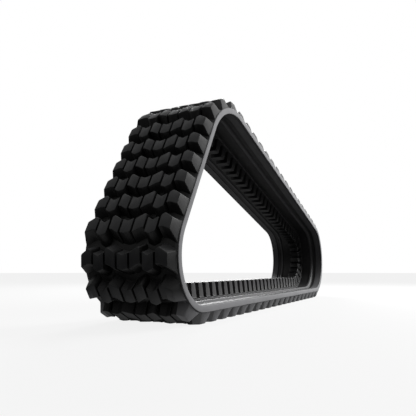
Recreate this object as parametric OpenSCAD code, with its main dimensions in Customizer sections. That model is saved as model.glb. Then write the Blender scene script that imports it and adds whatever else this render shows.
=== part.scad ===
// Endless rubber track for a three-wheel track unit, in the loop shape in which it is stored and fitted.
// X runs along the ground run, Y runs across the belt and Z is up. The tread of the ground run is at Z = 0.

/* [Belt] */
// Width of the belt
belt_w = 400; // [380:2:420]
// Thickness of the carcass, without tread and drive lugs
carcass_t = 27; // [26:0.5:32]
// Width of the rubber band along each edge
edge_w = 14; // [10:1:20]

/* [Loop] */
// Inner radius of the bend at the front of the ground run
front_r = 181.5; // [170:0.5:190]
// Inner radius of the bend at the rear of the ground run
rear_r = 220; // [205:1:235]
// Inner radius of the bend at the top
top_r = 258; // [245:1:270]
// Distance from the front bend's centre to the rear bend's centre, along X
rear_x = 1848; // [1800:1:1900]
// Distance from the front bend's centre to the top bend's centre, along X
top_x = 315; // [300:1:330]
// Height of the top bend's centre above the inner face of the ground run
top_z = 567; // [550:1:585]

/* [Tread] */
// Number of rows of tread blocks round the loop
tread_rows = 54; // [50:1:56]
// Height of the tread blocks
tread_h = 42; // [36:0.5:44]
// Distance from the loop's start to the first row
row_phase = 3; // [0:0.5:20]
// Pitch of the columns of blocks across the belt
column_pitch = 52.5; // [52:0.1:53]
// How far the shoulder blocks' outer faces lean inwards at the top
shoulder_lean = 17; // [10:0.5:20]

/* [Drive lugs] */
// Number of drive lugs round the loop
lug_count = 78; // [74:1:80]
// Height of the drive lugs above the wheel path
lug_h = 76; // [70:0.5:80]
// Length of a drive lug's foot along the belt
lug_foot_l = 40; // [36:0.5:42]
// Width of a drive lug's foot across the belt
lug_foot_w = 84; // [78:1:86]
// Distance from the loop's start to the first drive lug
lug_phase = 9; // [0:0.5:20]

/* [Reinforcement] */
// Number of wound steel cord ribbons side by side across the belt
ribbon_count = 12; // [8:2:16]
// Gap of cushion rubber between neighbouring ribbons
ribbon_gap = 1; // [0.5:0.1:2]

/* [Hidden] */

// Depths of the layers' outer faces, measured outwards from the wheel path
cover_d = 8;
fabric_d = 9.5;
lower_cushion_d = 10.8;
ribbon_d = 15.2;
upper_cushion_d = 16.5;
lower_ply_d = 18.3;
gum_d = 19.3;
upper_ply_d = 21.1;
// Depth of the steel cords' centres: the length of the loop is counted on this line
cord_line_d = 13;

// Half widths across the belt
half_w = belt_w / 2;
layer_half_w = half_w - edge_w;
ridge_outer_v = half_w - 72;
ridge_w = 20;
ridge_h = 7;
ridge_step = 4;
groove_outer_v = half_w - 46;
groove_depth = 4;
strip_half_w = 46;
strip_h = 9;
edge_step = 3;
// How deep the guide ridges and the root strip are keyed into the inner cover
key_d = 2;
// Hairline between the ends of neighbouring lengths of a laid-up band
splice_gap = 0.2;

// How far blocks and lugs reach past the face that they stand on, before they are trimmed to it
seat = 5;
// Angle between the ends of one flat of a bend
bend_step = 3;

// Centres and inner radii of the three bends, in the order in which the belt meets them
BENDS = [[[rear_x, rear_r], rear_r], [[top_x, top_z], top_r], [[0, front_r], front_r]];

function unit(a) = [cos(a), sin(a)];
function length_of(v) = sqrt(v[0] * v[0] + v[1] * v[1]);
function mirrored(side, points) = [for (p = points) [p[0], side * p[1]]];

// Angle of the outward normal on the run that leaves bend p and reaches bend q
function run_normal(p, q) = let (v = q[0] - p[0])
    atan2(v[1], v[0]) - acos((p[1] - q[1]) / length_of(v));
function unwrap(a, low) = a < low ? a + 360 : a;

// Outward normal angle of each run; run i ends on bend i
NORMALS = [for (i = [0:2]) run_normal(BENDS[(i + 2) % 3], BENDS[i])];
// Angle that the belt turns through on each bend
TURNS = [for (i = [0:2]) unwrap(NORMALS[(i + 1) % 3], NORMALS[i]) - NORMALS[i]];

// Point of bend i at normal angle n and depth d
function bend_point(i, n, d) = BENDS[i][0] + (BENDS[i][1] + d) * unit(n);
function run_start(i, d) = bend_point((i + 2) % 3, NORMALS[i], d);
function run_end(i, d) = bend_point(i, NORMALS[i], d);
function run_length(i) = length_of(run_end(i, 0) - run_start(i, 0));

// Lengths along the cord line, and the distance at which each run and each bend starts
ARCS = [for (i = [0:2]) TURNS[i] * PI / 180 * (BENDS[i][1] + cord_line_d)];
RUN_STARTS = [0, run_length(0) + ARCS[0], run_length(0) + ARCS[0] + run_length(1) + ARCS[1]];
loop_l = RUN_STARTS[2] + run_length(2) + ARCS[2];
tread_pitch = loop_l / tread_rows;
lug_pitch = loop_l / lug_count;

// Place on the wheel path at distance s along the loop, as [point, outward normal angle]
function leg_at(s) = s < RUN_STARTS[1] ? 0 : s < RUN_STARTS[2] ? 1 : 2;
function place_at(s) = let (i = leg_at(s), d = s - RUN_STARTS[i], over = d - run_length(i))
    over < 0 ? [run_start(i, 0) + d * unit(NORMALS[i] + 90), NORMALS[i]]
    : let (n = NORMALS[i] + over / ARCS[i] * TURNS[i]) [bend_point(i, n, 0), n];
// The bend nearest to distance s
function bend_at(s) = let (i = leg_at(s)) s - RUN_STARTS[i] < run_length(i) / 2 ? (i + 2) % 3 : i;

// The belt's line at depth d round bend i, and round the whole loop
function bend_line(i, d) = let (flats = ceil(TURNS[i] / bend_step))
    [for (k = [0:flats]) bend_point(i, NORMALS[i] + TURNS[i] * k / flats, d)];
function loop_line(d) = [for (i = [0:2], p = bend_line(i, d)) p];
// Outlines of the lengths of a laid-up band on run i and on bend i, between two depths
function on_run(i, d, t) = run_start(i, d) + t * unit(NORMALS[i] + 90);
function run_outline(i, from_d, to_d) = let (low = splice_gap, high = run_length(i) - splice_gap)
    [on_run(i, from_d, low), on_run(i, from_d, high), on_run(i, to_d, high), on_run(i, to_d, low)];
function bend_outline(i, from_d, to_d) = let (outer = bend_line(i, to_d))
    concat(bend_line(i, from_d), [for (k = [len(outer) - 1:-1:0]) outer[k]]);
// What bend i and the runs on both sides of it enclose at depth d
function bend_region(i, d) = concat([run_start(i, d)], bend_line(i, d), [run_end((i + 1) % 3, d)]);

// How much further the rearmost tread block reaches past its bend than the foremost one
reach_shift = 1.4;
// The loop's middle along X, so that the whole track is centred on the origin
mid_x = (rear_x + rear_r - front_r + reach_shift) / 2;
ground_z = carcass_t + tread_h;

module in_track() {
    translate([-mid_x, 0, ground_z]) children();
}

// Stand a piece on the wheel path at distance s: X along the belt, Y across it, Z into the loop
module on_loop(s) {
    place = place_at(s);
    translate([place[0][0], 0, place[0][1]]) rotate([0, -place[1] - 90, 0]) children();
}

// Extrude an outline, drawn in the loop's plane, across the belt from v = low to v = high
module across(low, high) {
    translate([0, high, 0]) rotate([90, 0, 0]) linear_extrude(high - low) children();
}

// A band that runs once round the loop, between two depths and two distances across the belt
module band(from_d, to_d, low, high) {
    in_track() across(low, high) difference() {
        polygon(loop_line(to_d));
        polygon(loop_line(from_d));
    }
}

// A band laid up in six lengths, one on each run and one on each bend
module laid_band(from_d, to_d, low, high) {
    in_track() for (i = [0:2]) {
        across(low, high) polygon(run_outline(i, from_d, to_d));
        across(low, high) polygon(bend_outline(i, from_d, to_d));
    }
}

module full_layer(from_d, to_d) {
    band(from_d, to_d, -layer_half_w, layer_half_w);
}

// A band on one side of the belt, between two distances from its middle
module side_band(side, from_d, to_d, near, far) {
    band(from_d, to_d, min(side * near, side * far), max(side * near, side * far));
}

// --- rubber of the inside ---

module inner_cover() {
    color([0.10, 0.10, 0.11]) difference() {
        laid_band(0, cover_d, -layer_half_w, layer_half_w);
        band(-seat, key_d, -strip_half_w, strip_half_w);
        for (side = [-1, 1]) {
            side_band(side, -seat, key_d, ridge_outer_v - ridge_w, ridge_outer_v);
            side_band(side, -seat, groove_depth, ridge_outer_v, groove_outer_v);
        }
    }
}

module edge_band(side) {
    color([0.30, 0.30, 0.31]) {
        side_band(side, 0, carcass_t, layer_half_w, half_w - edge_step);
        side_band(side, edge_step, carcass_t - edge_step, layer_half_w, half_w);
    }
}

module guide_ridge(side) {
    color([0.16, 0.16, 0.17]) {
        side_band(side, -ridge_h / 2, key_d, ridge_outer_v - ridge_w, ridge_outer_v);
        side_band(side, -ridge_h, 0, ridge_outer_v - ridge_w + ridge_step, ridge_outer_v - ridge_step);
    }
}

module lug_root_strip() {
    color([0.12, 0.12, 0.13]) laid_band(-strip_h, key_d, -strip_half_w, strip_half_w);
}

// One drive lug, as its side view cut to its end view; both narrow towards a blunt tip
module lug_shape() {
    tip_l = 24;
    tip_w = 50;
    tip_round = 8;
    side_round = 10;
    foot_z = strip_h - seat;
    intersection() {
        across(-lug_foot_w / 2, lug_foot_w / 2) polygon([[-lug_foot_l / 2, foot_z],
            [lug_foot_l / 2, foot_z], [lug_foot_l / 2, strip_h], [tip_l / 2, lug_h - tip_round],
            [tip_l / 2 - tip_round, lug_h], [tip_round - tip_l / 2, lug_h],
            [-tip_l / 2, lug_h - tip_round], [-lug_foot_l / 2, strip_h]]);
        rotate([90, 0, 90]) linear_extrude(2 * lug_foot_l, center = true)
            polygon([[-lug_foot_w / 2, foot_z - 1], [lug_foot_w / 2, foot_z - 1],
                [lug_foot_w / 2, strip_h], [tip_w / 2, lug_h - side_round],
                [tip_w / 2 - side_round, lug_h], [side_round - tip_w / 2, lug_h],
                [-tip_w / 2, lug_h - side_round], [-lug_foot_w / 2, strip_h]]);
    }
}

module drive_lugs() {
    color([0.22, 0.22, 0.23]) in_track() for (i = [0:lug_count - 1]) {
        s = lug_phase + i * lug_pitch;
        intersection() {
            on_loop(s) lug_shape();
            across(-belt_w, belt_w) polygon(bend_region(bend_at(s), -strip_h));
        }
    }
}

// --- reinforcement inside the carcass ---

module fabric_ply() {
    color([0.80, 0.76, 0.66]) full_layer(cover_d, fabric_d);
}

module cushion_lower() {
    color([0.20, 0.18, 0.17]) full_layer(fabric_d, lower_cushion_d);
}

// Ribbons of steel cord, wound side by side; every second ribbon's cords are laid the other way
module cord_ribbons(first) {
    ribbon_pitch = 2 * layer_half_w / ribbon_count;
    color([0.72, 0.60, 0.34]) for (i = [first:2:ribbon_count - 1]) {
        low = -layer_half_w + i * ribbon_pitch + ribbon_gap / 2;
        band(lower_cushion_d, ribbon_d, low, low + ribbon_pitch - ribbon_gap);
    }
}

module cushion_upper() {
    color([0.20, 0.18, 0.17]) full_layer(ribbon_d, upper_cushion_d);
}

module bias_ply_lower() {
    color([0.62, 0.52, 0.30]) full_layer(upper_cushion_d, lower_ply_d);
}

module bias_gum_layer() {
    color([0.25, 0.23, 0.22]) full_layer(lower_ply_d, gum_d);
}

module bias_ply_upper() {
    color([0.62, 0.52, 0.30]) full_layer(gum_d, upper_ply_d);
}

// --- tread ---

module tread_base() {
    color([0.08, 0.08, 0.09]) laid_band(upper_ply_d, carcass_t, -layer_half_w, layer_half_w);
}

// Outlines of the blocks of one side, drawn as [along the belt, across it]. The rows make a zigzag:
// the front and rear edges of each block run together.
centre_half_w = 22;
CENTRE = [[-25, -centre_half_w], [-15, 0], [-25, centre_half_w], [34, centre_half_w], [41, 0],
    [34, -centre_half_w]];
block_w = 2 * centre_half_w;
inner_v = column_pitch - centre_half_w;
INNER = [[-24, inner_v], [-44, inner_v + 36], [-36, inner_v + block_w], [18, inner_v + block_w],
    [21, inner_v + 29], [39, inner_v]];
outer_v = inner_v + column_pitch;
OUTER = [[-27, outer_v], [-14, outer_v + 21], [-27, outer_v + block_w], [33, outer_v + block_w],
    [46, outer_v + 21], [36, outer_v]];
shoulder_v = outer_v + column_pitch;
SHOULDER = [[-32, shoulder_v], [-42, shoulder_v + 12], [-9.5, half_w], [41, half_w],
    [19, shoulder_v + 13], [22, shoulder_v]];

// Blocks of one outline, from the carcass to the tread's height, one in each row
module block_column(outline) {
    in_track() for (i = [0:tread_rows - 1]) {
        s = row_phase + i * tread_pitch;
        difference() {
            on_loop(s) translate([0, 0, -ground_z]) linear_extrude(tread_h + seat) polygon(outline);
            across(-belt_w, belt_w) polygon(bend_region(bend_at(s), carcass_t));
            on_loop(s) shoulder_cuts();
            ground();
        }
    }
}

// What the leaning outer faces of the shoulder blocks leave out, on both sides of the belt
module shoulder_cuts() {
    for (side = [-1, 1]) rotate([90, 0, 90]) linear_extrude(2 * tread_h + belt_w, center = true)
        polygon([[side * half_w, -carcass_t - edge_step], [side * (half_w - shoulder_lean), -ground_z],
            [side * (half_w - shoulder_lean), -ground_z - 1], [side * (half_w + 1), -ground_z - 1],
            [side * (half_w + 1), -carcass_t - edge_step]]);
}

// The ground under the lower run: the rows where the belt starts to bend are flattened against it
module ground() {
    translate([-rear_x, -belt_w, -ground_z - 2 * seat]) cube([3 * rear_x, 2 * belt_w, 2 * seat]);
}

module centre_blocks() {
    color([0.13, 0.13, 0.14]) block_column(CENTRE);
}

module inner_blocks(side) {
    color([0.15, 0.15, 0.16]) block_column(mirrored(side, INNER));
}

module outer_blocks(side) {
    color([0.13, 0.13, 0.14]) block_column(mirrored(side, OUTER));
}

module shoulder_blocks(side) {
    color([0.28, 0.28, 0.29]) block_column(mirrored(side, SHOULDER));
}

inner_cover();
edge_band(-1);  // edge_band_left
edge_band(1);  // edge_band_right
guide_ridge(-1);  // guide_ridge_left
guide_ridge(1);  // guide_ridge_right
lug_root_strip();
drive_lugs();
fabric_ply();
cushion_lower();
cord_ribbons(0);  // cord_ribbons_s_lay
cord_ribbons(1);  // cord_ribbons_z_lay
cushion_upper();
bias_ply_lower();
bias_gum_layer();
bias_ply_upper();
tread_base();
centre_blocks();
inner_blocks(-1);  // inner_blocks_left
inner_blocks(1);  // inner_blocks_right
outer_blocks(-1);  // outer_blocks_left
outer_blocks(1);  // outer_blocks_right
shoulder_blocks(-1);  // shoulder_blocks_left
shoulder_blocks(1);  // shoulder_blocks_right
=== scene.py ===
"""An endless rubber track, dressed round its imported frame.

The belt lies in the three-cornered loop in which it runs round a track unit. Sizes are in
millimetres. Along the belt they are counted on the line of the steel cords, across it from the
middle of its width, and in depth outwards from the wheel path, which is the inner face.
"""

import logging
import math
from dataclasses import dataclass
from enum import Enum
from typing import Any, Sequence

import bmesh
import bpy
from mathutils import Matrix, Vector


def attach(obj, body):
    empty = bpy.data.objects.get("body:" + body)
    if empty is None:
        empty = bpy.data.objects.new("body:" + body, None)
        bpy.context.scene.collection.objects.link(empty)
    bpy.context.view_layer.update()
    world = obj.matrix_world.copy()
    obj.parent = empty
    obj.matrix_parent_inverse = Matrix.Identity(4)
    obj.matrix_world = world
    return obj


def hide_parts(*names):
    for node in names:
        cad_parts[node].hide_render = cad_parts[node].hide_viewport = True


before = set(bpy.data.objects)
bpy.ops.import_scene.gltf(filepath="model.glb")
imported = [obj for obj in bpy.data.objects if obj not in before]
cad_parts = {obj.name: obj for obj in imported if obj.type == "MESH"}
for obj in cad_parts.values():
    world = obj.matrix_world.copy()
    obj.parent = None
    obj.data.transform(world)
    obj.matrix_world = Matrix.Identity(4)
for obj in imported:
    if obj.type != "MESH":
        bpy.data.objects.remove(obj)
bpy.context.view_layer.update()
LOG = logging.getLogger("rubber_track")
MM = 0.001
BODY = "root"
# Name of the attribute that is one on the top faces of tread blocks and nought on all other faces; where it
# is nought the tread's material paints the faces darker, as shade
CROWN = "crown"
# Vertices closer than this are one vertex
WELD = 0.01 * MM
# Depths that differ by less than this many millimetres are the same depth
SAME_DEPTH = 0.1


class Side(Enum):
    """The two sides of the belt, seen along the ground run from the front bend."""

    LEFT = -1
    RIGHT = 1

    @property
    def word(self) -> str:
        """The side's word in the names of nodes and pieces."""
        return self.name.lower()


def round_off(bm: bmesh.types.BMesh, geom: Sequence[Any], reach: float, segments: int,
              affect: str = "EDGES") -> None:
    """Round edges or corners off.

    Args:
        bm: The mesh.
        geom: The edges or vertices.
        reach: How far the rounding reaches from them.
        segments: Number of faces across the rounding.
        affect: Whether edges or vertices are rounded.
    """
    bmesh.ops.bevel(bm, geom=geom, offset=reach, offset_type="OFFSET", segments=segments, profile=0.5,
                    affect=affect, material=-1, clamp_overlap=True)


# --- the loop ---


@dataclass(frozen=True)
class Bend:
    """One bend of the belt.

    Attributes:
        x: Distance of its centre from the front bend's centre, along the ground run.
        z: Height of its centre above the wheel path of the ground run.
        radius: Its radius on the wheel path.
    """

    x: float
    z: float
    radius: float


@dataclass
class LoopPath:
    """The line of the belt: three straight runs and three bends.

    Attributes:
        bends: The rear, top and front bend, in the order in which the belt meets them.
        cord_line: Depth of the line on which lengths along the belt are counted.
        carcass: Thickness of the belt without tread.
        tread: Height of the tread.
        strip: Height of the strip under the drive lugs.
        reach_shift: How much further the rearmost tread block reaches than the foremost one.
        bend_step: Angle between neighbouring sections of a swept bend, in degrees.
    """

    bends: tuple[Bend, ...] = (Bend(1848, 220, 220), Bend(315, 567, 258), Bend(0, 181.5, 181.5))
    cord_line: float = 13
    carcass: float = 27
    tread: float = 42
    strip: float = 9
    reach_shift: float = 1.4
    bend_step: float = 2

    def __post_init__(self) -> None:
        """Work out the runs' directions and lengths from the bends."""
        rear, _, front = self.bends
        self.mid_x = (rear.x + rear.radius - front.radius + self.reach_shift) / 2
        self.ground = self.carcass + self.tread
        self.normals = [self._run_normal(self.bends[i - 1], self.bends[i]) for i in range(3)]
        self.turns = [(self.normals[(i + 1) % 3] - self.normals[i]) % math.tau for i in range(3)]
        self.runs = [(self.run_end(i) - self.run_start(i)).length for i in range(3)]
        self.arcs = [turn * (bend.radius + self.cord_line)
                     for turn, bend in zip(self.turns, self.bends)]
        self.starts = [sum(self.runs[:i]) + sum(self.arcs[:i]) for i in range(3)]
        self.length = sum(self.runs) + sum(self.arcs)

    @staticmethod
    def _run_normal(start: Bend, end: Bend) -> float:
        """Find the angle of the outward normal on the run between two bends.

        Args:
            start: The bend that the run leaves.
            end: The bend that the run reaches.

        Returns:
            The angle in radians, turning from +X towards +Z.
        """
        x, z = end.x - start.x, end.z - start.z
        return math.atan2(z, x) - math.acos((start.radius - end.radius) / math.hypot(x, z))

    @staticmethod
    def _unit(angle: float) -> Vector:
        """Give the unit vector at an angle in the plane of the loop."""
        return Vector((math.cos(angle), math.sin(angle)))

    def bend_point(self, bend: int, angle: float, depth: float = 0) -> Vector:
        """Give a point of a bend in the plane of the loop.

        Args:
            bend: The bend's number.
            angle: Angle of the outward normal there, in radians.
            depth: Depth outwards from the wheel path.

        Returns:
            The point as (x, z) in the loop's own millimetres.
        """
        at = self.bends[bend]
        return Vector((at.x, at.z)) + (at.radius + depth) * self._unit(angle)

    def run_start(self, run: int) -> Vector:
        """Give the start of a run on the wheel path."""
        return self.bend_point(run - 1, self.normals[run])

    def run_end(self, run: int) -> Vector:
        """Give the end of a run on the wheel path."""
        return self.bend_point(run, self.normals[run])

    def world(self, point: Vector, across: float) -> Vector:
        """Turn a point of the loop's plane into a place in the frame.

        Args:
            point: The point as (x, z) in the loop's own millimetres.
            across: Distance from the middle of the belt's width.

        Returns:
            The place in metres.
        """
        return Vector((point.x - self.mid_x, across, point.y + self.ground)) * MM

    def place(self, along: float) -> tuple[Vector, float]:
        """Find a place on the wheel path.

        Args:
            along: Distance along the belt from the start of the ground run.

        Returns:
            The point in the loop's plane and the angle of its outward normal.
        """
        along %= self.length
        run = max(i for i in range(3) if self.starts[i] <= along)
        over = along - self.starts[run] - self.runs[run]
        angle = self.normals[run]
        if over < 0:
            return self.run_end(run) + over * self._unit(angle + math.pi / 2), angle
        angle += over / self.arcs[run] * self.turns[run]
        return self.bend_point(run, angle), angle

    def bent(self, along: float, across: float, depth: float) -> Vector:
        """Place a point that follows the belt round its bends.

        Args:
            along: Distance along the belt.
            across: Distance from the middle of its width.
            depth: Depth outwards from the wheel path.

        Returns:
            The place in metres.
        """
        point, angle = self.place(along)
        return self.world(point + depth * self._unit(angle), across)

    def stiff(self, along: float, offset: float, across: float, depth: float) -> Vector:
        """Place a point of something stiff that stands on the belt and doesn't bend with it.

        Args:
            along: Distance along the belt at which the stiff thing stands.
            offset: The point's distance from there, along the belt's direction.
            across: Distance from the middle of the belt's width.
            depth: Depth outwards from the wheel path.

        Returns:
            The place in metres.
        """
        point, angle = self.place(along)
        ahead = offset * self._unit(angle + math.pi / 2)
        return self.world(point + depth * self._unit(angle) + ahead, across)

    def stand(self, point: Vector, station: float) -> Vector:
        """Place one point of a block or lug: its foot follows the belt, the rest stays stiff.

        Args:
            point: The point as (along, across, depth).
            station: Distance along the belt at which the block or lug stands.

        Returns:
            The place in metres, never below the ground.
        """
        if -self.strip - SAME_DEPTH < point.z < self.carcass + SAME_DEPTH:
            place = self.bent(station + point.x, point.y, point.z)
        else:
            place = self.stiff(station, point.x, point.y, point.z)
        place.z = max(place.z, 0)
        return place

    def sweep(self, corners: Sequence["Corner"]) -> bmesh.types.BMesh:
        """Run a cross-section once round the loop.

        Args:
            corners: The corners of the cross-section, in order round it.

        Returns:
            The closed ring.
        """
        bm = bmesh.new()
        start = self.run_start(0)
        down = self._unit(self.normals[0])
        made = [(bm.verts.new(self.world(start + c.depth * down, c.across)), c) for c in corners]
        bm.faces.new([vert for vert, _ in made])
        for rounding in sorted({c.rounding for c in corners if c.rounding > 0}):
            round_off(bm, [v for v, c in made if c.rounding == rounding], rounding * MM, 4, "VERTICES")
        bmesh.ops.delete(bm, geom=bm.faces[:], context="FACES_ONLY")
        section = bm.edges[:]
        for leg, (run, turn, bend) in enumerate(zip(self.runs, self.turns, self.bends)):
            grown = bmesh.ops.extrude_edge_only(bm, edges=section)["geom"]
            verts = [item for item in grown if isinstance(item, bmesh.types.BMVert)]
            ahead = self._unit(self.normals[leg] + math.pi / 2) * run * MM
            bmesh.ops.translate(bm, verts=verts, vec=Vector((ahead.x, 0, ahead.y)))
            edges = [item for item in grown if isinstance(item, bmesh.types.BMEdge)
                     and all(vert in verts for vert in item.verts)]
            steps = math.ceil(math.degrees(turn) / self.bend_step)
            turned = bmesh.ops.spin(bm, geom=verts + edges, axis=(0, -1, 0), angle=turn, steps=steps,
                                    cent=self.world(Vector((bend.x, bend.z)), 0))["geom_last"]
            section = [item for item in turned if isinstance(item, bmesh.types.BMEdge)]
        bmesh.ops.remove_doubles(bm, verts=bm.verts[:], dist=WELD)
        bmesh.ops.recalc_face_normals(bm, faces=bm.faces[:])
        return bm


@dataclass(frozen=True)
class Corner:
    """One corner of a swept cross-section.

    Attributes:
        across: Distance from the middle of the belt's width.
        depth: Depth outwards from the wheel path.
        rounding: Length of the rounding on both sides of the corner.
    """

    across: float
    depth: float
    rounding: float = 0


# --- materials ---


def srgb(code: str) -> tuple[float, float, float, float]:
    """Turn an sRGB hex code into a linear colour.

    Args:
        code: Six hex digits after a hash sign.

    Returns:
        Linear red, green, blue and an alpha of one.
    """
    parts = [int(code[i:i + 2], 16) / 255 for i in (1, 3, 5)]
    red, green, blue = (p / 12.92 if p <= 0.04045 else ((p + 0.055) / 1.055) ** 2.4 for p in parts)
    return red, green, blue, 1.0


def add_node(tree: bpy.types.NodeTree, kind: str, inputs: dict[Any, Any] | None = None,
             **settings: Any) -> bpy.types.Node:
    """Add a node to a material, with its settings and its links.

    Args:
        tree: The material's node tree.
        kind: The node's type.
        inputs: For each input, by name or number, a value or the socket that feeds it.
        **settings: The node's own properties.

    Returns:
        The new node.
    """
    node = tree.nodes.new(kind)
    for name, value in settings.items():
        setattr(node, name, value)
    for key, value in (inputs or {}).items():
        if isinstance(value, bpy.types.NodeSocket):
            tree.links.new(value, node.inputs[key])
        else:
            node.inputs[key].default_value = value
    return node


def combine(tree: bpy.types.NodeTree, operation: str, first: Any, second: Any = 0.0) -> bpy.types.NodeSocket:
    """Join two values by one sum or one test.

    Args:
        tree: The material's node tree.
        operation: The sum or the test.
        first: A value, or the socket that feeds it.
        second: The other value or socket, where the operation has two.

    Returns:
        The socket with the outcome.
    """
    return add_node(tree, "ShaderNodeMath", {0: first, 1: second}, operation=operation).outputs[0]


def ramp(tree: bpy.types.NodeTree, value: Any, span: tuple[float, float],
         levels: tuple[float, float] = (0.0, 1.0), kind: str = "LINEAR") -> bpy.types.NodeSocket:
    """Go from one level to another while a value crosses a span.

    Args:
        tree: The material's node tree.
        value: The socket with the value.
        span: The values at which the change starts and ends.
        levels: The levels at the start and at the end.
        kind: The curve of the change.

    Returns:
        The socket with the level.
    """
    return add_node(tree, "ShaderNodeMapRange", {"Value": value, "From Min": span[0], "From Max": span[1],
                                                 "To Min": levels[0], "To Max": levels[1]},
                    interpolation_type=kind).outputs[0]


def empty_material(name: str) -> tuple[bpy.types.Material, bpy.types.NodeTree]:
    """Make a material with an empty node tree.

    Args:
        name: The material's name.

    Returns:
        The material and its tree.
    """
    material = bpy.data.materials.new(name)
    material.use_nodes = True
    material.node_tree.nodes.clear()
    return material, material.node_tree


@dataclass(frozen=True)
class RubberFinish:
    """Vulcanised carbon-black rubber as it leaves a steel mould.

    The mould's blasted face gives a fine satin grain, and protective wax that has come to the
    surface gives a pale bloom in patches. The same pale colour is painted on as light: on faces that point
    sideways and up, on some strips and at the rims near the floor.

    Attributes:
        name: The material's name.
        body: Colour of the rubber.
        bloom: Colour of the wax bloom, which is also painted on as light.
        side_bloom: Share of the pale colour on faces that point sideways, thin and thick places; it is
            painted light from the side, patchy like bloom.
        face_bloom: Share of bloom on all other faces, thin and thick places.
        roughness: Roughness of the glossiest and of the dullest places.
        side_light_from: Distance from the middle of the belt past which sideways faces get the painted side
            light.
        painted_top_light: Share of the pale colour on faces that point up, painted light from above.
        floor_lift: Share of bloom at the belt's rims near the ground. It isn't a property of the
            rubber: it stands in for the light that a pale floor sends back, and stays near the floor.
        lift_from: Distance from the middle of the belt past which the floor lifts the rims.
        lift_fade: Heights between which the floor's lift fades out.
        flank: Colour below the crown, painted darker than the body as shade in the gaps between blocks; none
            for the body's colour all over.
        grain: Size of the mould's grain.
        grain_depth: Depth of the mould's grain.
        patch: Size of the patches of bloom and gloss.
        side_roughness: Least roughness of sideways faces, which the bloom dulls.
        zones: Strips with their own share of the pale colour, painted light on them: from and to which
            distance from the middle, and share.
        sideways: How far a normal points sideways where a face starts and ends to count as sideways.
        upward: How far a normal points up where the painted top light starts and where it is full.
    """

    name: str
    body: str
    bloom: str
    side_bloom: tuple[float, float]
    face_bloom: tuple[float, float]
    roughness: tuple[float, float]
    side_light_from: float = 0
    painted_top_light: float = 0
    floor_lift: float = 0
    lift_from: float = 158
    lift_fade: tuple[float, float] = (50, 130)
    flank: str | None = None
    grain: float = 1.6
    grain_depth: float = 0.25
    patch: float = 60
    side_roughness: float = 0.85
    zones: tuple[tuple[float, float, float], ...] = ()
    sideways: tuple[float, float] = (0.55, 0.95)
    upward: tuple[float, float] = (0.54, 0.84)

    def material(self) -> bpy.types.Material:
        """Build the material.

        Returns:
            The finished material.
        """
        material, tree = empty_material(self.name)
        place = add_node(tree, "ShaderNodeTexCoord").outputs["Object"]
        patches = self.noise(tree, place, self.patch, detail=4.0, harshness=0.6)
        # A blasted mould's true grain is a tenth of a millimetre; it is drawn coarser so that it shows.
        grain = self.noise(tree, place, self.grain, detail=3.0, harshness=0.65)
        spot = add_node(tree, "ShaderNodeSeparateXYZ", {0: place})
        normal = add_node(tree, "ShaderNodeNewGeometry").outputs["Normal"]
        facing = add_node(tree, "ShaderNodeSeparateXYZ", {0: normal})
        across = combine(tree, "ABSOLUTE", spot.outputs["Y"])
        # Sideways faces get more of the pale colour: painted light from the side
        aside = ramp(tree, combine(tree, "ABSOLUTE", facing.outputs["Y"]), self.sideways, kind="SMOOTHSTEP")
        outside = combine(tree, "GREATER_THAN", across, self.side_light_from * MM)
        aside = combine(tree, "MULTIPLY", aside, outside)
        face, side = (ramp(tree, patches, (0.3, 0.7), levels)
                      for levels in (self.face_bloom, self.side_bloom))
        share = add_node(tree, "ShaderNodeMix", {0: aside, 2: face, 3: side}).outputs[0]
        # Faces that point up get the pale colour too: painted light from above
        painted_top_light = ramp(tree, facing.outputs["Z"], self.upward, (0.0, self.painted_top_light), "SMOOTHSTEP")
        share = combine(tree, "MAXIMUM", share, painted_top_light)
        # Rims near the floor get the pale colour: painted bounce light from the floor
        share = combine(tree, "MAXIMUM", share, self.lifted(tree, across, spot.outputs["Z"]))
        # Some strips get their own share: painted light on them
        share = self.zoned(tree, across, share)
        crown = add_node(tree, "ShaderNodeAttribute", attribute_name=CROWN).outputs["Fac"]
        # Below the crown the colour turns to flank: painted shade in the gaps between blocks
        body = add_node(tree, "ShaderNodeMix", {0: crown, 6: srgb(self.flank or self.body),
                                                7: srgb(self.body)}, data_type="RGBA").outputs[2]
        colour = add_node(tree, "ShaderNodeMix", {0: share, 6: body, 7: srgb(self.bloom)},
                          data_type="RGBA").outputs[2]
        gloss = ramp(tree, patches, (0.35, 0.65), self.roughness)
        gloss = combine(tree, "MAXIMUM", gloss, combine(tree, "MULTIPLY", aside, self.side_roughness))
        bump = add_node(tree, "ShaderNodeBump", {"Height": grain, "Strength": 1.0,
                                                 "Distance": self.grain_depth * MM}).outputs[0]
        shader = add_node(tree, "ShaderNodeBsdfPrincipled",
                          {"Base Color": colour, "Roughness": gloss, "Normal": bump, "IOR": 1.52})
        add_node(tree, "ShaderNodeOutputMaterial", {"Surface": shader.outputs[0]})
        return material

    @staticmethod
    def noise(tree: bpy.types.NodeTree, place: bpy.types.NodeSocket, size: float, detail: float,
              harshness: float) -> bpy.types.NodeSocket:
        """Add noise of a real size.

        Args:
            tree: The material's node tree.
            place: The socket with the place on the object.
            size: Size of the noise.
            detail: How many finer layers the noise has.
            harshness: How strong the finer layers are.

        Returns:
            The socket with the noise.
        """
        return add_node(tree, "ShaderNodeTexNoise", {"Vector": place, "Scale": 1 / (size * MM),
                                                     "Detail": detail, "Roughness": harshness}).outputs[0]

    def lifted(self, tree: bpy.types.NodeTree, across: bpy.types.NodeSocket,
               height: bpy.types.NodeSocket) -> bpy.types.NodeSocket:
        """Find how much the floor lifts a place.

        Args:
            tree: The material's node tree.
            across: The socket with the distance from the middle of the belt.
            height: The socket with the height above the ground.

        Returns:
            The socket with the share of the pale colour, painted bounce light from the floor.
        """
        low, high = self.lift_fade
        lift = ramp(tree, height, (low * MM, high * MM), (self.floor_lift, 0.0))
        rim = combine(tree, "GREATER_THAN", across, self.lift_from * MM)
        return combine(tree, "MULTIPLY", rim, lift)

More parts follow.
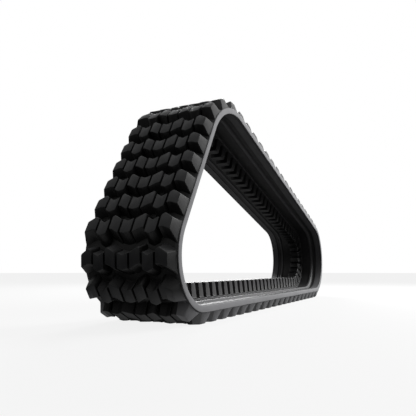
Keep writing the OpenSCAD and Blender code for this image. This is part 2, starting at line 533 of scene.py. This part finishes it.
    def zoned(self, tree: bpy.types.NodeTree, across: bpy.types.NodeSocket,
              share: bpy.types.NodeSocket) -> bpy.types.NodeSocket:
        """Give each strip its own share of the pale colour, painted light on the strip.

        Args:
            tree: The material's node tree.
            across: The socket with the distance from the middle of the belt.
            share: The socket with the share of the pale colour outside the strips.

        Returns:
            The socket with the share of the pale colour.
        """
        for start, end, level in self.zones:
            past = combine(tree, "GREATER_THAN", across, start * MM)
            short = combine(tree, "LESS_THAN", across, end * MM)
            inside = combine(tree, "MULTIPLY", past, short)
            share = add_node(tree, "ShaderNodeMix", {0: inside, 2: share, 3: level}).outputs[0]
        return share


@dataclass(frozen=True)
class CordFinish:
    """Parallel steel cords, drawn and brass coated so that rubber bonds to them.

    Attributes:
        name: The material's name.
        wire: Colour of the brass coat.
        gum: Colour of the rubber between the cords.
        pitch: Distance between neighbouring cords.
        bias: Angle between the cords and the belt's direction, in degrees.
    """

    name: str
    wire: str
    gum: str
    pitch: float
    bias: float = 0

    def material(self) -> bpy.types.Material:
        """Build the material.

        Returns:
            The finished material.
        """
        material, tree = empty_material(self.name)
        place = add_node(tree, "ShaderNodeTexCoord").outputs["Object"]
        turned = add_node(tree, "ShaderNodeMapping",
                          {"Vector": place, "Rotation": (0, 0, math.radians(self.bias))})
        cords = add_node(tree, "ShaderNodeTexWave", {"Vector": turned.outputs[0],
                                                     "Scale": math.pi / (10 * self.pitch * MM)},
                         bands_direction="Y", wave_profile="SIN").outputs["Fac"]
        bare = ramp(tree, cords, (0.2, 0.5))
        colour = add_node(tree, "ShaderNodeMix", {0: bare, 6: srgb(self.gum), 7: srgb(self.wire)},
                          data_type="RGBA").outputs[2]
        bump = add_node(tree, "ShaderNodeBump", {"Height": cords, "Distance": self.pitch * MM / 2}).outputs[0]
        shader = add_node(tree, "ShaderNodeBsdfPrincipled",
                          {"Base Color": colour, "Metallic": bare, "Roughness": 0.35, "Normal": bump})
        add_node(tree, "ShaderNodeOutputMaterial", {"Surface": shader.outputs[0]})
        return material


@dataclass(frozen=True)
class WovenFinish:
    """Plain woven polyamide, dipped so that rubber bonds to it.

    Attributes:
        name: The material's name.
        yarn: Colour of the yarn.
        shade: Colour of the gaps between the yarns.
        pitch: Distance between neighbouring yarns.
    """

    name: str
    yarn: str
    shade: str
    pitch: float

    def material(self) -> bpy.types.Material:
        """Build the material.

        Returns:
            The finished material.
        """
        material, tree = empty_material(self.name)
        place = add_node(tree, "ShaderNodeTexCoord").outputs["Object"]
        scale = math.pi / (10 * self.pitch * MM)
        yarns = [add_node(tree, "ShaderNodeTexWave", {"Vector": place, "Scale": scale},
                          bands_direction=way).outputs["Fac"] for way in ("X", "Y")]
        weave = combine(tree, "MULTIPLY", *yarns)
        colour = add_node(tree, "ShaderNodeMix", {0: weave, 6: srgb(self.shade), 7: srgb(self.yarn)},
                          data_type="RGBA").outputs[2]
        bump = add_node(tree, "ShaderNodeBump", {"Height": weave, "Distance": self.pitch * MM / 3}).outputs[0]
        shader = add_node(tree, "ShaderNodeBsdfPrincipled",
                          {"Base Color": colour, "Roughness": 0.8, "Normal": bump})
        add_node(tree, "ShaderNodeOutputMaterial", {"Surface": shader.outputs[0]})
        return material


# Tread compound, full of carbon black. Below the crowns the blocks are painted near black as shade, and their
# tops, far sideways faces and the rims near the floor are painted paler as light
TREAD_RUBBER = RubberFinish(
    "moulded_tread_rubber", body="#1d1e20", bloom="#7e7e80", side_bloom=(0.0, 0.07), face_bloom=(0.0, 0.04),
    roughness=(0.42, 0.58), side_light_from=176, painted_top_light=0.32, floor_lift=0.95, flank="#060606", grain_depth=0.12)
# The same compound on the belt's edges, pressed smooth by the side plates; their sideways faces are painted
# pale grey as light from the side
EDGE_RUBBER = RubberFinish(
    "pressed_edge_rubber", body="#262628", bloom="#7c7c7e", side_bloom=(0.8, 1.0), face_bloom=(0.0, 0.2),
    roughness=(0.55, 0.68), grain=2.2, grain_depth=0.12, patch=90)
# Inner cover compound, pressed against a plain plate; its ridges and rims are painted paler as light
PATH_RUBBER = RubberFinish(
    "polished_wheel_path_rubber", body="#111112", bloom="#58585a", side_bloom=(0.1, 0.3),
    face_bloom=(0.0, 0.04), roughness=(0.46, 0.6), grain=2.5, grain_depth=0.03, patch=80,
    zones=((108, 128, 0.6), (154, 190, 0.7)))
# Lug compound, harder than the rest
LUG_RUBBER = RubberFinish(
    "hard_lug_rubber", body="#131314", bloom="#464648", side_bloom=(0.0, 0.15), face_bloom=(0.0, 0.02),
    roughness=(0.3, 0.42), grain=1.8, grain_depth=0.03, patch=50)
# Soft bonding rubber, rolled out in thin sheets
GUM_RUBBER = RubberFinish(
    "calendered_gum_rubber", body="#2a2624", bloom="#3a3634", side_bloom=(0.0, 0.3), face_bloom=(0.0, 0.3),
    roughness=(0.6, 0.75))
# Steel cord that carries the belt's pull
MAIN_CORD = CordFinish("brass_coated_main_cord", wire="#b8965a", gum="#1c1a19", pitch=4.4)
# Thin steel cord of the two breaker plies, laid at opposite angles
LOWER_BIAS_CORD = CordFinish(
    "brass_coated_bias_cord_lower", wire="#b39a66", gum="#1c1a19", pitch=2.2, bias=22)
UPPER_BIAS_CORD = CordFinish(
    "brass_coated_bias_cord_upper", wire="#b39a66", gum="#1c1a19", pitch=2.2, bias=-22)
# Polyamide fabric under the inner cover
PLY_FABRIC = WovenFinish("dipped_polyamide_fabric", yarn="#b9ad93", shade="#5a4f3f", pitch=1.5)


# --- building and dressing pieces ---


def finish_piece(bm: bmesh.types.BMesh, name: str, node: str, material: bpy.types.Material,
                 crease: float = 32) -> bpy.types.Object:
    """Turn a mesh into a finished piece that stands for a node of the frame.

    Args:
        bm: The mesh, which is freed.
        name: The piece's name.
        node: The node that the piece replaces.
        material: The piece's material.
        crease: Angle between faces past which their edge stays sharp, in degrees.

    Returns:
        The finished object.
    """
    mesh = bpy.data.meshes.new(name)
    for face in bm.faces:
        face.smooth = True
    bm.to_mesh(mesh)
    bm.free()
    mesh.set_sharp_from_angle(angle=math.radians(crease))
    mesh.materials.append(material)
    piece = bpy.data.objects.new(name, mesh)
    bpy.context.scene.collection.objects.link(piece)
    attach(piece, BODY)
    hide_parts(node)
    LOG.info("%s: %d faces, stands for %s", name, len(mesh.polygons), node)
    return piece


def repeat_round(master: bmesh.types.BMesh, path: LoopPath, count: int, phase: float) -> bmesh.types.BMesh:
    """Stand copies of one shape round the loop, evenly spaced.

    Args:
        master: The shape, drawn as (along, across, depth), which becomes the copies.
        path: The belt's line.
        count: Number of copies.
        phase: Distance along the belt to the first copy.

    Returns:
        All the copies as one mesh.
    """
    source = master.verts[:] + master.edges[:] + master.faces[:]
    for index in range(count):
        copied = bmesh.ops.duplicate(master, geom=source)["geom"]
        for vert in copied:
            if isinstance(vert, bmesh.types.BMVert):
                vert.co = path.stand(vert.co, phase + index * path.length / count)
    bmesh.ops.delete(master, geom=[item for item in source if isinstance(item, bmesh.types.BMVert)],
                     context="VERTS")
    bmesh.ops.recalc_face_normals(master, faces=master.faces[:])
    return master


@dataclass
class Carcass:
    """The belt's rubber skin: the inner cover with its two grooves, the edge bands and the tread base.

    Attributes:
        path: The belt's line.
        half_width: Half of the belt's width.
        edge: Width of an edge band.
        edge_round: Rounding of an edge band's corner at the wheel path.
        ledge_round: Rounding of an edge band's corner at the tread.
        cover: Thickness of the inner cover.
        base_from: Depth at which the tread base starts.
        groove_near: Distance of a groove's near wall from the middle.
        groove_far: Distance of a groove's far wall from the middle.
        groove_depth: Depth of a groove.
        groove_slope: How much a groove narrows towards its bottom, on each side.
        groove_lip: Rounding of a groove's upper corners.
        groove_root: Rounding of a groove's lower corners.
    """

    path: LoopPath
    half_width: float = 200
    edge: float = 14
    edge_round: float = 4.5
    ledge_round: float = 3.5
    cover: float = 8
    base_from: float = 21.1
    groove_near: float = 128
    groove_far: float = 154
    groove_depth: float = 4
    groove_slope: float = 2.5
    groove_lip: float = 1
    groove_root: float = 1.2

    def build(self) -> None:
        """Build all of the skin's pieces."""
        edge_rubber = EDGE_RUBBER.material()
        for side in Side:
            self.edge_band(side, edge_rubber)
        self.inner_cover()
        self.tread_base()

    def inner_cover(self) -> bpy.types.Object:
        """Build the inner cover, on which the wheels run.

        Returns:
            The piece.
        """
        rim = self.half_width - self.edge
        near, far = self.groove_near + self.groove_slope, self.groove_far - self.groove_slope
        half = [Corner(self.groove_near, 0, self.groove_lip),
                Corner(near, self.groove_depth, self.groove_root),
                Corner(far, self.groove_depth, self.groove_root),
                Corner(self.groove_far, 0, self.groove_lip), Corner(rim, 0), Corner(rim, self.cover)]
        other = [Corner(-c.across, c.depth, c.rounding) for c in reversed(half)]
        return finish_piece(self.path.sweep(half + other), "inner_cover_skin", "inner_cover",
                            PATH_RUBBER.material())

    def edge_band(self, side: Side, material: bpy.types.Material) -> bpy.types.Object:
        """Build the band of plain rubber along one edge.

        Args:
            side: The side of the belt.
            material: The band's material.

        Returns:
            The piece.
        """
        near = (self.half_width - self.edge) * side.value
        far = self.half_width * side.value
        corners = [Corner(near, 0), Corner(far, 0, self.edge_round),
                   Corner(far, self.path.carcass, self.ledge_round), Corner(near, self.path.carcass)]
        return finish_piece(self.path.sweep(corners), f"edge_band_{side.word}_skin", f"edge_band_{side.word}",
                            material)

    def tread_base(self) -> bpy.types.Object:
        """Build the sheet of tread rubber between the blocks.

        Returns:
            The piece.
        """
        rim = self.half_width - self.edge
        corners = [Corner(-rim, self.base_from), Corner(rim, self.base_from), Corner(rim, self.path.carcass),
                   Corner(-rim, self.path.carcass)]
        return finish_piece(self.path.sweep(corners), "tread_base_skin", "tread_base",
                            TREAD_RUBBER.material())


@dataclass
class GuideRidges:
    """The two low ridges that keep the road wheels on their path.

    Attributes:
        path: The belt's line.
        near: Distance of a ridge's near foot from the middle.
        width: Width at the foot.
        height: Height above the wheel path.
        slope: How much each flank leans in.
        foot_round: Rounding at the foot.
        crest_round: Rounding of the upper corners.
        root: How deep the ridge sits in the cover.
    """

    path: LoopPath
    near: float = 108
    width: float = 20
    height: float = 7
    slope: float = 3.5
    foot_round: float = 0.8
    crest_round: float = 2.4
    root: float = 2

    def build(self) -> None:
        """Build both ridges."""
        rubber = PATH_RUBBER.material()
        for side in Side:
            node = f"guide_ridge_{side.word}"
            far = self.near + self.width
            across = (self.near, self.near + self.slope, far - self.slope, far)
            low, low_top, high_top, high = (value * side.value for value in across)
            corners = [Corner(low, self.root), Corner(low, 0, self.foot_round),
                       Corner(low_top, -self.height, self.crest_round),
                       Corner(high_top, -self.height, self.crest_round),
                       Corner(high, 0, self.foot_round), Corner(high, self.root)]
            finish_piece(self.path.sweep(corners), f"{node}_skin", node, rubber)


@dataclass
class DriveLugs:
    """The row of drive lugs and the raised strip that they stand on.

    Attributes:
        path: The belt's line.
        count: Number of lugs round the loop.
        phase: Distance from the loop's start to the first lug.
        height: Height of a lug above the wheel path.
        foot: Length and width of a lug at the strip.
        tip: Length and width of a lug at its top.
        dome: Rounding of a lug's tip.
        corner: Rounding of a lug's upright corners.
        strip_half: Half of the strip's width.
        strip_slope: How much each of the strip's flanks leans in.
        strip_foot_round: Rounding at the strip's foot.
        strip_crest_round: Rounding of the strip's upper corners.
        root: How deep the strip sits in the cover.
        flare: How far the foot's fillet spreads on the strip.
        flare_height: Height of the foot's fillet.
        sunk: How deep a lug's foot reaches into the strip.
    """

    path: LoopPath
    count: int = 78
    phase: float = 9
    height: float = 76
    foot: tuple[float, float] = (42, 78)
    tip: tuple[float, float] = (36, 62)
    dome: float = 12
    corner: float = 4
    strip_half: float = 46
    strip_slope: float = 4
    strip_foot_round: float = 1
    strip_crest_round: float = 3
    root: float = 2
    flare: float = 3
    flare_height: float = 4
    sunk: float = 3

    def build(self) -> None:
        """Build the strip and the lugs."""
        finish_piece(self.strip(), "lug_root_strip_skin", "lug_root_strip",
                     PATH_RUBBER.material())
        row = repeat_round(self.lug(), self.path, self.count, self.phase)
        finish_piece(row, "drive_lug_row", "drive_lugs", LUG_RUBBER.material(), crease=40)

    def strip(self) -> bmesh.types.BMesh:
        """Sweep the raised strip round the loop.

        Returns:
            The strip's mesh.
        """
        crown = self.strip_half - self.strip_slope
        half = [Corner(self.strip_half, self.root), Corner(self.strip_half, 0, self.strip_foot_round),
                Corner(crown, -self.path.strip, self.strip_crest_round)]
        other = [Corner(-c.across, c.depth, c.rounding) for c in reversed(half)]
        return self.path.sweep(half + other)

    def lug(self) -> bmesh.types.BMesh:
        """Shape one lug: a block that narrows to a rounded tip and spreads into its root.

        Returns:
            The lug as (along, across, depth), in millimetres.
        """
        bm = bmesh.new()
        rise = self.height - self.path.strip - self.flare_height
        middle = -(self.path.strip + self.flare_height + rise / 2)
        bmesh.ops.create_cube(bm, size=1)
        bmesh.ops.scale(bm, vec=(self.foot[0], self.foot[1], rise), verts=bm.verts[:])
        top = [vert for vert in bm.verts if vert.co.z < 0]
        bmesh.ops.scale(bm, vec=(self.tip[0] / self.foot[0], self.tip[1] / self.foot[1], 1), verts=top)
        bmesh.ops.translate(bm, vec=(0, 0, middle), verts=bm.verts[:])
        upright = [edge for edge in bm.edges if sum(vert in top for vert in edge.verts) == 1]
        round_off(bm, upright, self.corner, 2)
        crown = min(bm.faces, key=lambda face: face.calc_center_median().z)
        round_off(bm, crown.edges[:], self.dome, 4)
        sole = max(bm.faces, key=lambda face: face.calc_center_median().z)
        flared = self.flare / self.foot[0]
        half_drop = self.flare_height / 2
        for spread, drop in ((1 + flared, half_drop), (1 + 2 * flared, half_drop), (1, self.sunk)):
            ring = bmesh.ops.extrude_face_region(bm, geom=[sole])["geom"]
            old = sole
            sole = next(item for item in ring if isinstance(item, bmesh.types.BMFace))
            if old.is_valid:
                bmesh.ops.delete(bm, geom=[old], context="FACES_ONLY")
            bmesh.ops.translate(bm, vec=(0, 0, drop), verts=sole.verts[:])
            widened = 1 + (spread - 1) * self.foot[0] / self.foot[1]
            bmesh.ops.scale(bm, vec=(spread, widened, 1), verts=sole.verts[:])
        return bm


@dataclass(frozen=True)
class BlockCorner:
    """One corner of a tread block's outline, at the block's top and at its foot.

    Attributes:
        along: Distance from the row's line at the top.
        across: Distance from the middle of the belt's width at the top.
        foot_along: How much further along the corner lies at the foot.
        foot_across: How much further across the corner lies at the foot.
    """

    along: float
    across: float
    foot_along: float
    foot_across: float


class Column(Enum):
    """The columns of tread blocks, from the middle of the belt to its edge."""

    CENTRE = "centre_blocks"
    INNER = "inner_blocks"
    OUTER = "outer_blocks"
    SHOULDER = "shoulder_blocks"


@dataclass
class TreadPattern:
    """Seven columns of tread blocks, whose front and rear faces make a zigzag across the belt.

    Attributes:
        path: The belt's line.
        rows: Number of rows round the loop.
        phase: Distance from the loop's start to the first row.
        lead: How far a block's steep rear face moves out from top to foot.
        trail: How far a block's sloping front face moves out from top to foot.
        flank: How far a block's sides move out from top to foot.
        corner: Rounding of the upright corners.
        crest: Rounding of the top edges.
        fillet: Height of the fillet at the foot.
        fillet_reach: How far the fillet reaches out.
        sunk: How deep a block's foot reaches into the belt.
    """

    path: LoopPath
    rows: int = 54
    phase: float = 3
    lead: float = 8
    trail: float = 14
    flank: float = 2
    corner: float = 3
    crest: float = 2
    fillet: float = 5
    fillet_reach: float = 2.4
    sunk: float = 4

    def outline(self, column: Column) -> list[BlockCorner]:
        """List the corners of a column's block, in order round it.

        Args:
            column: The column.

        Returns:
            The corners, for the right side of the belt.
        """
        back, front, side = -self.lead, self.trail, self.flank
        if column is Column.CENTRE:
            half = [BlockCorner(-12.4, 0, back, 0), BlockCorner(-21.8, 22.3, back, side),
                    BlockCorner(33, 22.3, front, side), BlockCorner(39, 0, front, 0)]
            other = [BlockCorner(c.along, -c.across, c.foot_along, -c.foot_across) for c in half[2:0:-1]]
            return half + other
        if column is Column.INNER:
            return [BlockCorner(-20.8, 30.2, back, -side), BlockCorner(-40.6, 66, back, 0),
                    BlockCorner(-32.7, 74, back, side), BlockCorner(17, 74, front, side),
                    BlockCorner(20, 60, front, 0), BlockCorner(37, 30.2, front, -side)]
        if column is Column.OUTER:
            return [BlockCorner(-23.8, 82.2, back, -side), BlockCorner(-10.9, 104, back, 0),
                    BlockCorner(-23.3, 126, back, side), BlockCorner(33, 126, front, side),
                    BlockCorner(45, 104, front, 0), BlockCorner(35, 82.2, front, -side)]
        return [BlockCorner(-28.7, 134.2, back, -side), BlockCorner(-38.6, 148, back, 0),
                BlockCorner(-17.5, 181, -6, 14), BlockCorner(29, 181, front + 11, 14),
                BlockCorner(17, 150, front, 0), BlockCorner(20, 134.2, front, -side)]

    def build(self) -> None:
        """Build every column of blocks on both sides."""
        rubber = TREAD_RUBBER.material()
        self.column(Column.CENTRE, 1, Column.CENTRE.value, rubber)
        for column in (Column.INNER, Column.OUTER, Column.SHOULDER):
            for side in Side:
                self.column(column, side.value, f"{column.value}_{side.word}", rubber)

    def column(self, column: Column, mirror: int, node: str, rubber: bpy.types.Material) -> bpy.types.Object:
        """Build one column of blocks.

        Args:
            column: The column.
            mirror: One for the right side of the belt, minus one for the left.
            node: The node that the column replaces.
            rubber: The blocks' material.

        Returns:
            The piece.
        """
        blocks = repeat_round(self.block(self.outline(column), mirror), self.path, self.rows, self.phase)
        return finish_piece(blocks, f"{node}_moulded", node, rubber, crease=38)

    def block(self, outline: Sequence[BlockCorner], mirror: int) -> bmesh.types.BMesh:
        """Shape one block: its top face, drawn down to a wider foot, with a fillet round it.

        Args:
            outline: The corners of the block.
            mirror: One, or minus one to mirror the block about the belt's middle.

        Returns:
            The block as (along, across, depth), in millimetres.
        """
        bm = bmesh.new()
        deep = self.path.carcass
        top = [bm.verts.new((c.along, mirror * c.across, deep + self.path.tread)) for c in outline]
        foot = [bm.verts.new((c.along + c.foot_along, mirror * (c.across + c.foot_across), deep))
                for c in outline]
        for ring in (top, foot):
            bm.faces.new(ring)
        edges = [edge for face in bm.faces for edge in face.edges]
        bmesh.ops.delete(bm, geom=bm.faces[:], context="FACES_ONLY")
        bmesh.ops.bridge_loops(bm, edges=edges)
        bmesh.ops.holes_fill(bm, edges=[e for e in bm.edges if e.is_boundary])
        upright = [e for e in bm.edges if e.verts[0] in top and e.verts[1] in foot
                   or e.verts[1] in top and e.verts[0] in foot]
        round_off(bm, upright, self.corner, 1)
        bmesh.ops.recalc_face_normals(bm, faces=bm.faces[:])
        crown = max(bm.faces, key=lambda face: face.calc_center_median().z)
        round_off(bm, crown.edges[:], self.crest, 2)
        centre = sum((v.co for v in bm.verts), Vector()) / len(bm.verts)
        bmesh.ops.bisect_plane(bm, geom=bm.verts[:] + bm.edges[:] + bm.faces[:],
                               plane_co=(0, 0, deep + self.fillet), plane_no=(0, 0, 1))
        for vert in bm.verts:
            if vert.co.z < deep + SAME_DEPTH:
                out = Vector((vert.co.x - centre.x, vert.co.y - centre.y, 0)).normalized()
                vert.co += out * self.fillet_reach
        sole = min(bm.faces, key=lambda face: face.calc_center_median().z)
        sunk = bmesh.ops.extrude_face_region(bm, geom=[sole])["geom"]
        bmesh.ops.translate(bm, vec=(0, 0, -self.sunk),
                            verts=[v for v in sunk if isinstance(v, bmesh.types.BMVert)])
        if sole.is_valid:
            bmesh.ops.delete(bm, geom=[sole], context="FACES_ONLY")
        crown_share = bm.verts.layers.float.new(CROWN)
        for vert in bm.verts:
            vert[crown_share] = float(vert.co.z > deep + self.path.tread - self.crest / 2)
        return bm


@dataclass
class Reinforcement:
    """The layers inside the carcass, which keep the frame's own shapes."""

    def build(self) -> None:
        """Dress every layer with its material."""
        gum = GUM_RUBBER.material()
        cord = MAIN_CORD.material()
        finishes = {"fabric_ply": PLY_FABRIC.material(), "cushion_lower": gum, "cushion_upper": gum,
                    "bias_gum_layer": gum, "cord_ribbons_s_lay": cord, "cord_ribbons_z_lay": cord,
                    "bias_ply_lower": LOWER_BIAS_CORD.material(),
                    "bias_ply_upper": UPPER_BIAS_CORD.material()}
        for node, material in finishes.items():
            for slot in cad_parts[node].material_slots:
                slot.material = material
            LOG.info("%s: %s", node, material.name)


@dataclass
class Studio:
    """A plain pale floor, soft light and the camera.

    Attributes:
        camera_at: The camera's place, in metres.
        heading: The camera's heading, in degrees from +Y towards +X.
        rise: How far the camera looks up, in degrees.
        lens: Focal length.
        key_from: Direction towards the key light.
        key_distance: Distance of the key light, in metres.
        key_size: Side of the key light, in metres.
        key_power: Power of the key light, in watts.
        back_from: Direction towards the back light, which glances off the highest blocks.
        back_distance: Distance of the back light, in metres.
        back_size: Side of the back light, in metres.
        back_power: Power of the back light, in watts.
        aim: The place at which both lights point, in metres.
        above: Strength of the soft light from overhead.
        behind: Strength of the soft light from beyond the track.
        under: Strength of the soft light from the horizon downwards.
        below: Strength of the light that comes back from the floor.
        floor_radius: Radius of the floor, in metres.
    """

    camera_at: tuple[float, float, float] = (-2.4246, -0.9315, 0.195)
    heading: float = 63.94
    rise: float = 8.13
    lens: float = 38
    key_from: tuple[float, float, float] = (0.6, -0.63, 0.45)
    key_distance: float = 4
    key_size: float = 2.6
    key_power: float = 290
    back_from: tuple[float, float, float] = (0.73, 0.37, 0.57)
    back_distance: float = 4
    back_size: float = 1.6
    back_power: float = 200
    aim: tuple[float, float, float] = (-0.2, 0, 0.6)
    above: float = 0.38
    behind: float = 0.5
    under: float = 0.03
    below: float = 0.5
    floor_radius: float = 40

    def build(self) -> None:
        """Set up the camera, the floor and the lights."""
        self.camera()
        self.floor()
        self.lights()

    def camera(self) -> None:
        """Put the camera in its place."""
        heading, rise = math.radians(self.heading), math.radians(self.rise)
        level = math.cos(rise)
        ahead = Vector((math.sin(heading) * level, math.cos(heading) * level, math.sin(rise)))
        data = bpy.data.cameras.new("studio_camera")
        data.lens = self.lens
        data.sensor_width = 36
        camera = bpy.data.objects.new("studio_camera", data)
        camera.rotation_euler = ahead.to_track_quat("-Z", "Y").to_euler()
        camera.location = self.camera_at
        bpy.context.scene.collection.objects.link(camera)
        bpy.context.scene.camera = camera

    def floor(self) -> None:
        """Lay the floor, a matt white sheet."""
        bm = bmesh.new()
        bmesh.ops.create_circle(bm, cap_ends=True, segments=96, radius=self.floor_radius)
        mesh = bpy.data.meshes.new("studio_floor")
        bm.to_mesh(mesh)
        bm.free()
        material, tree = empty_material("matt_white_floor")
        shader = add_node(tree, "ShaderNodeBsdfPrincipled",
                          {"Base Color": srgb("#4a4a4a"), "Roughness": 0.95, "Specular IOR Level": 0.0,
                           "Emission Color": srgb("#ffffff"), "Emission Strength": 0.85})
        add_node(tree, "ShaderNodeOutputMaterial", {"Surface": shader.outputs[0]})
        mesh.materials.append(material)
        floor = bpy.data.objects.new("studio_floor", mesh)
        bpy.context.scene.collection.objects.link(floor)
        floor.visible_diffuse = False
        floor.visible_glossy = False

    def lights(self) -> None:
        """Set the white surround and the key light."""
        world = bpy.data.worlds.new("studio_surround")
        world.use_nodes = True
        tree = world.node_tree
        tree.nodes.clear()
        way = add_node(tree, "ShaderNodeTexCoord").outputs["Generated"]
        way = add_node(tree, "ShaderNodeSeparateXYZ", {0: way})
        upward = way.outputs["Z"]
        above = ramp(tree, upward, (-0.1, 0.7), (self.under, self.above))
        behind = ramp(tree, way.outputs["X"], (0.0, 0.9), (0.0, self.behind))
        behind = combine(tree, "MULTIPLY", behind, ramp(tree, upward, (-0.12, 0.12)))
        below = ramp(tree, upward, (-0.5, -1.0), (0.0, self.below))
        light = combine(tree, "ADD", combine(tree, "ADD", above, behind), below)
        seen = add_node(tree, "ShaderNodeLightPath").outputs["Is Camera Ray"]
        light = add_node(tree, "ShaderNodeMix", {0: seen, 2: light, 3: 1.0}).outputs[0]
        backdrop = add_node(tree, "ShaderNodeBackground", {"Color": srgb("#ffffff"), "Strength": light})
        add_node(tree, "ShaderNodeOutputWorld", {"Surface": backdrop.outputs[0]})
        bpy.context.scene.world = world
        bpy.context.scene.view_settings.view_transform = "Standard"
        self.lamp("key_light", self.key_from, self.key_distance, self.key_size, self.key_power)
        self.lamp("back_light", self.back_from, self.back_distance, self.back_size, self.back_power)

    def lamp(self, name: str, towards: tuple[float, float, float], distance: float, size: float,
             power: float) -> None:
        """Hang a square light that points at the track.

        Args:
            name: The light's name.
            towards: Direction from the track towards the light.
            distance: Distance of the light, in metres.
            size: Side of the light, in metres.
            power: Power of the light, in watts.
        """
        way = Vector(towards).normalized()
        data = bpy.data.lights.new(name, "AREA")
        data.shape = "SQUARE"
        data.size = size
        data.energy = power
        light = bpy.data.objects.new(name, data)
        light.location = Vector(self.aim) + way * distance
        light.rotation_euler = (-way).to_track_quat("-Z", "Y").to_euler()
        bpy.context.scene.collection.objects.link(light)


def main() -> None:
    """Build the track and the studio."""
    logging.basicConfig(level=logging.INFO, format="%(message)s")
    path = LoopPath()
    Studio().build()
    Carcass(path).build()
    GuideRidges(path).build()
    DriveLugs(path).build()
    TreadPattern(path).build()
    Reinforcement().build()


if __name__ == "__main__":
    main()
